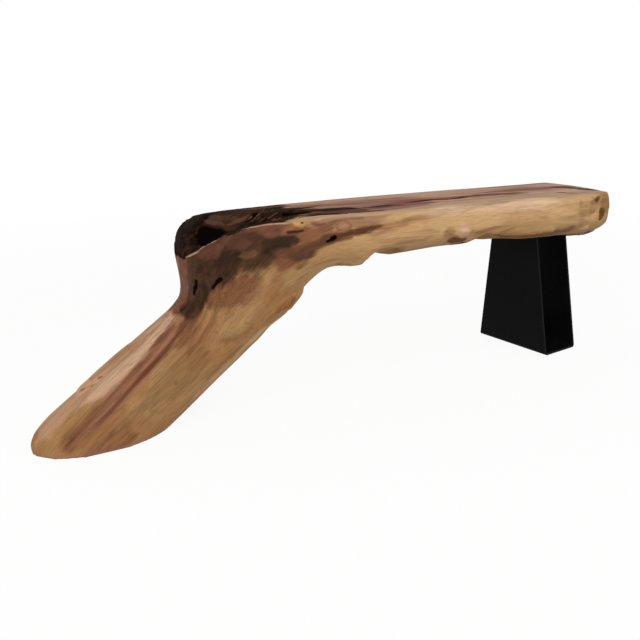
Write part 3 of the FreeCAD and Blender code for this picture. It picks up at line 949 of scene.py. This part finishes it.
class Nodes:
    """Short calls for the nodes of one material or world."""

    def __init__(self, owner):
        owner.use_nodes = True
        self.tree = owner.node_tree
        self.tree.nodes.clear()

    def add(self, kind, sources, **settings):
        """Adds a node, and plugs its inputs, which sources gives by name or by number."""
        node = self.tree.nodes.new(kind)
        for name, setting in settings.items():
            setattr(node, name, setting)
        for key, source in sources.items():
            self.plug(node.inputs[key], source)
        return node

    def plug(self, socket, source):
        """Links an output to a socket, or sets the socket to a plain number or colour."""
        if isinstance(source, bpy.types.NodeSocket):
            self.tree.links.new(source, socket)
        elif hasattr(source, "__len__") and len(source) == 3 and socket.type == "RGBA":
            socket.default_value = (*source, 1)
        else:
            socket.default_value = source

    def math(self, operation, first, second=0.0):
        return self.add("ShaderNodeMath", {0: first, 1: second}, operation=operation).outputs[0]

    def vector(self, operation, first, second=(0.0, 0.0, 0.0), output="Vector"):
        node = self.add("ShaderNodeVectorMath", {0: first, 1: second}, operation=operation)
        return node.outputs[output]

    def times(self, vector, factors):
        return self.vector("MULTIPLY", vector, factors)

    def length(self, vector):
        return self.vector("LENGTH", vector, output="Value")

    def layer(self, name, output="Fac"):
        return self.add("ShaderNodeAttribute", {}, attribute_name=name).outputs[output]

    def noise(self, vector, scale, detail, roughness=0.55, output="Fac"):
        sources = {"Vector": vector, "Scale": scale, "Detail": detail, "Roughness": roughness}
        return self.add("ShaderNodeTexNoise", sources).outputs[output]

    def spread(self, factor, span, low=0.0, high=1.0):
        """Smooth step of a factor over a span, from low to high."""
        sources = {"Value": factor, "From Min": span[0], "From Max": span[1], "To Min": low,
                   "To Max": high}
        node = self.add("ShaderNodeMapRange", sources, interpolation_type="SMOOTHSTEP")
        return node.outputs["Result"]

    def blend(self, first, second, share):
        """Mean of two numbers, in which the first counts by its share."""
        part = self.math("MULTIPLY", first, share)
        return self.math("ADD", part, self.math("MULTIPLY", second, 1 - share))

    def mix(self, factor, first, second, blend_type="MIX"):
        sources = {0: factor, 6: first, 7: second}
        node = self.add("ShaderNodeMix", sources, data_type="RGBA", blend_type=blend_type)
        return node.outputs[2]

    def mix_shaders(self, factor, first, second):
        sources = {0: factor, 1: first.outputs[0], 2: second.outputs[0]}
        return self.add("ShaderNodeMixShader", sources)

    def bump(self, height, strength, distance):
        sources = {"Height": height, "Strength": strength, "Distance": distance}
        return self.add("ShaderNodeBump", sources).outputs[0]

    def seen_ray(self):
        """1 for the rays that show the background: camera, glossy and transmission rays."""
        path = self.add("ShaderNodeLightPath", {}).outputs
        seen = self.math("MAXIMUM", path["Is Camera Ray"], path["Is Glossy Ray"])
        return self.math("MAXIMUM", seen, path["Is Transmission Ray"])

    def finish(self, shader, kind="ShaderNodeOutputMaterial"):
        self.add(kind, {0: shader.outputs[0]})


def add_world():
    """White behind the object, and a soft even light from all round."""
    world = bpy.data.worlds.new("studio")
    bpy.context.scene.world = world
    nodes = Nodes(world)
    light = nodes.add("ShaderNodeBackground", {"Color": sky_colour, "Strength": sky_strength})
    white = nodes.add("ShaderNodeBackground", {"Color": (1.0, 1.0, 1.0)})
    mixed = nodes.mix_shaders(nodes.seen_ray(), light, white)
    nodes.finish(mixed, "ShaderNodeOutputWorld")


def add_floor():
    """A pale floor that fades into the white background and keeps the bench's shadow."""
    bpy.ops.mesh.primitive_plane_add(size=floor_size, location=(0, 0, 0))
    floor = bpy.context.object
    floor.name = "floor"
    material = bpy.data.materials.new("floor_white")
    nodes = Nodes(material)
    diffuse = nodes.add("ShaderNodeBsdfDiffuse", {"Color": floor_colour})
    glow = nodes.add("ShaderNodeEmission", {})
    reach = nodes.length(nodes.add("ShaderNodeNewGeometry", {}).outputs["Position"])
    share = nodes.math("MULTIPLY", nodes.seen_ray(),
                       nodes.spread(reach, floor_glow_span, *floor_glow_shares))
    nodes.finish(nodes.mix_shaders(share, diffuse, glow))
    floor.data.materials.append(material)


def linear(seen):
    """A colour as it is seen, up to 255, as the linear light that Blender works in."""
    return tuple(((part / 255 + 0.055) / 1.055) ** 2.4 for part in seen)


class Wood(Nodes):
    """Nodes of the log's wood: noises along the grain, and the painted layers over them."""

    def __init__(self, owner):
        super().__init__(owner)
        grain = self.layer("grain", "Vector")
        warp = self.noise(self.times(grain, warp_scale), 1.0, warp_detail, output="Color")
        self.bent = self.vector("ADD", grain, self.times(warp, warp_reach))
        self.noises = {}
        for name, (is_bent, along, across, detail, roughness) in wood_noises.items():
            place = self.times(self.bent if is_bent else grain, (along, across, across))
            self.noises[name] = self.noise(place, 1.0, detail, roughness)
        self.along = self.add("ShaderNodeSeparateXYZ", {0: grain}).outputs["X"]
        self.fray = self.blend(self.noises["streak"], self.noises["broad"], fray_streak_share)

    def plug(self, socket, source):
        """As above, with colours as they are seen, up to 255."""
        if socket.type == "RGBA" and not isinstance(source, bpy.types.NodeSocket):
            source = linear(source)
        super().plug(socket, source)

    def toned(self, under, name, span, strength, colour):
        """Lays a colour where a noise is high."""
        return self.mix(self.spread(self.noises[name], span, 0.0, strength), under, colour)

    def painted(self, under, some_paints):
        """Lays each paint where its layer is high, with an edge that is frayed along the grain."""
        for name, paint in some_paints.items():
            frayed = self.spread(self.fray, fray_span, -paint.fray, paint.fray)
            edge = self.math("ADD", self.layer(name), frayed)
            tints = [[share * part for part in paint.seen] for share in tint_shares]
            tint = self.mix(self.spread(self.noises["streak"], tint_span), *tints)
            under = self.mix(self.spread(edge, (0.0, 1.0)), under, tint)
        return under

    def round_side(self):
        seat_share = self.spread(self.along, side_span)
        tones = {name: self.mix(seat_share, *pair) for name, pair in side_colours.items()}
        colour = tones["base"]
        for name, span, strength, tone in side_tones:
            colour = self.toned(colour, name, span, strength, tones[tone])
        # Painted shade of the lower side and of the right-hand end
        for name, seen in shaded_colours.items():
            factor = self.math("MULTIPLY", self.layer(name), shaded_share)
            colour = self.mix(factor, colour, seen)
        return self.mix(self.layer("cut"), colour, self.sawn_end())

    def sawn_end(self):
        """Growth rings round a darker pith."""
        across = self.times(self.bent, (0.0, 1.0, 1.0))
        radius = self.length(self.vector("ADD", across, pith_offset))
        wave = self.math("SINE", self.math("MULTIPLY", radius, ring_pitch))
        blotch = self.spread(self.noises["blotch"], whole_span, ring_least_share)
        growth = self.math("MULTIPLY", wave, blotch)
        wood = self.mix(self.spread(growth, ring_span), *ring_colours)
        return self.mix(self.spread(radius, pith_span, pith_share, 0.0), wood, pith_colour)

    def planed_top(self):
        colour = self.mix(self.spread(self.along, planed_span), *planed_colours)
        for tone in planed_tones:
            colour = self.toned(colour, *tone)
        return self.painted(colour, top_paints)

    def grain_lines(self):
        """Thin dark lines and fine fibres, as a grey that the colour is multiplied by."""
        gap = self.math("ABSOLUTE", self.math("SUBTRACT", self.noises["rings"], 0.5))
        fibre = self.spread(self.noises["fibre"], middle_span, *fibre_shares)
        line = self.math("MULTIPLY", self.spread(gap, (0.0, line_width), line_least, 1.0), fibre)
        return self.add("ShaderNodeCombineColor", {0: line, 1: line, 2: line}).outputs[0]

    def rotten(self):
        colour = self.mix(self.spread(self.noises["rot"], rot_tone_span), *rot_colours)
        return self.painted(colour, rot_paints)

    def ragged(self, layer, name, span, share):
        """A layer whose border a noise moves to and fro."""
        shift = self.spread(self.noises[name], span, -share, share)
        return self.math("ADD", self.layer(layer), shift)

    def colour(self):
        colour = self.painted(self.round_side(), paints)
        colour = self.mix(self.layer("sawn"), colour, self.planed_top())
        colour = self.mix(1.0, colour, self.grain_lines(), "MULTIPLY")
        torn = self.ragged("rot", "wide", rot_torn_span, rot_torn_share)
        colour = self.mix(self.spread(torn, rot_edge), colour, self.rotten())
        colour = self.painted(colour, lip_paints)
        colour = self.mix(self.layer("sunk"), colour, crack_colour)
        slit = self.ragged("slit", "blotch", whole_span, slit_ragged_share)
        return self.mix(self.spread(slit, slit_dark_span), colour, slit_colour)


def wood_material(name, ior):
    """Peeled log: streaks and fibres along the grain, with the painted marks on top."""
    material = bpy.data.materials.new(name)
    wood = Wood(material)
    relief = wood.blend(wood.noises["fibre"], wood.noises["streak"], bump_fibre_share)
    wood.finish(wood.add("ShaderNodeBsdfPrincipled", {
        "Base Color": wood.colour(),
        "Roughness": wood.spread(wood.noises["streak"], whole_span, *wood_roughness),
        "Normal": wood.bump(relief, bump_strength, bump_distance),
        "IOR": ior,
    }))
    return material


def metal_material(name, mottle_scale, colours, roughness, metallic, ior, peel_strength):
    """A metal surface, a little mottled, with a faint orange peel where it is coated."""
    material = bpy.data.materials.new(name)
    nodes = Nodes(material)
    place = nodes.add("ShaderNodeTexCoord", {}).outputs["Object"]
    mottle = nodes.noise(place, mottle_scale, mottle_detail)
    peel = nodes.noise(place, peel_scale, peel_detail)
    nodes.finish(nodes.add("ShaderNodeBsdfPrincipled", {
        "Base Color": nodes.mix(nodes.spread(mottle, middle_span), *colours),
        "Roughness": nodes.spread(mottle, whole_span, *roughness),
        "Metallic": metallic,
        "IOR": ior,
        "Normal": nodes.bump(peel, peel_strength, peel_distance),
    }))
    return material


camera_turn = add_camera()
add_world()
add_floor()
for name, settings in lamps.items():
    add_lamp(name, *settings)

skin = log_mesh()
slots = sculpt_log(skin, camera_turn)
skin.data.materials.clear()
for name, ior in wood_materials.items():
    skin.data.materials.append(wood_material(name, ior))
for polygon in skin.data.polygons:
    polygon.use_smooth = True
    polygon.material_index = int(slots[polygon.vertices[0]])
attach(skin, "root")
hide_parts("log")

metal = {name: metal_material(name, *settings) for name, settings in metals.items()}
for node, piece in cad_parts.items():
    if node != "log":
        name = "black_steel" if node.startswith("leg") else "zinc_steel"
        piece.data.materials.clear()
        piece.data.materials.append(metal[name])
